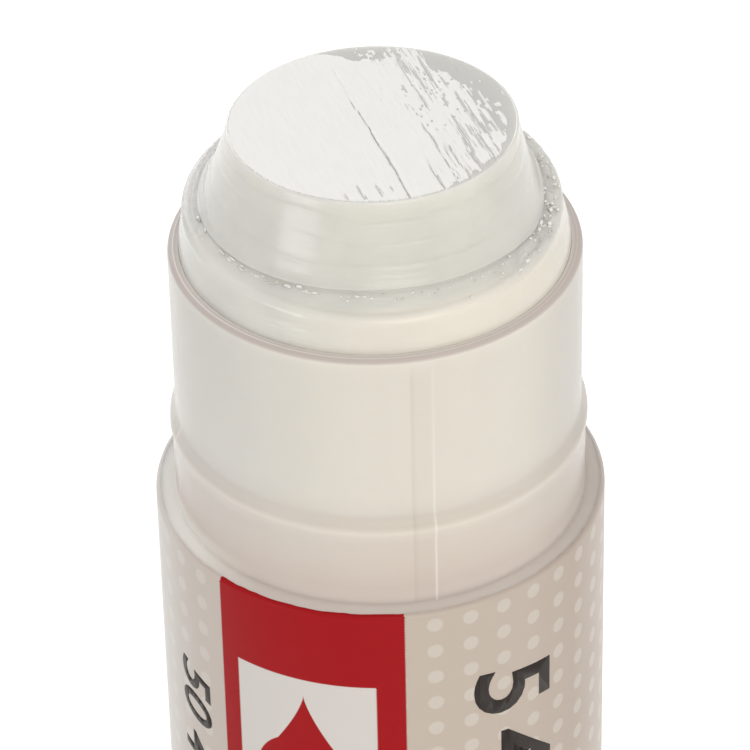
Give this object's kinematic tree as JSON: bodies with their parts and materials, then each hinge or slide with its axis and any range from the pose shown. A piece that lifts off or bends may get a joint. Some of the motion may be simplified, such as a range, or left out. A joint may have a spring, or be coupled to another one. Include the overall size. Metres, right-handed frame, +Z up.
{
  "type": "glue stick",
  "caption": "Twist-up glue stick, uncapped: milky barrel with a stepped neck and printed film, fluted base knob, lead screw, keyed carrier and a tapered column of clear gel.",
  "frame": {"origin": "centre of the base knob's flat foot, on the stick's axis", "axes": "+Z up the stick's axis from the foot to the glue; the front of the label faces -Y; +X to the right of the front"},
  "size_m": [0.0304, 0.0304, 0.1088],
  "materials": {
    "barrel_plastic": "natural milky polypropylene, smooth moulded",
    "printed_film": "clear film with red, pale and dark print",
    "knob_plastic": "red polypropylene, moulded flutes",
    "spindle_plastic": "white polypropylene, moulded thread",
    "carrier_plastic": "white polypropylene",
    "glue_gel": "translucent gel, wet and scraped on top"
  },
  "bodies": {
    "barrel": {"barrel": "barrel_plastic", "label": "printed_film"},
    "knob": {"base_knob": "knob_plastic", "spindle": "spindle_plastic"},
    "piston": {"carrier": "carrier_plastic", "glue": "glue_gel"}
  },
  "joints": [
    {"name": "carrier_rise", "type": "slide", "parent": "barrel", "child": "piston", "axis": [0, 0, 1], "range_m": [-0.01, 0.05]},
    {"name": "knob_turn", "type": "hinge", "parent": "barrel", "child": "knob", "pos_m": [0, 0, 0], "axis": [0, 0, 1], "range_deg": [-720, 3600]}
  ],
  "couplings": [
    {"joint": "knob_turn", "follows": "carrier_rise", "rad_per_m": 1256.6}
  ]
}
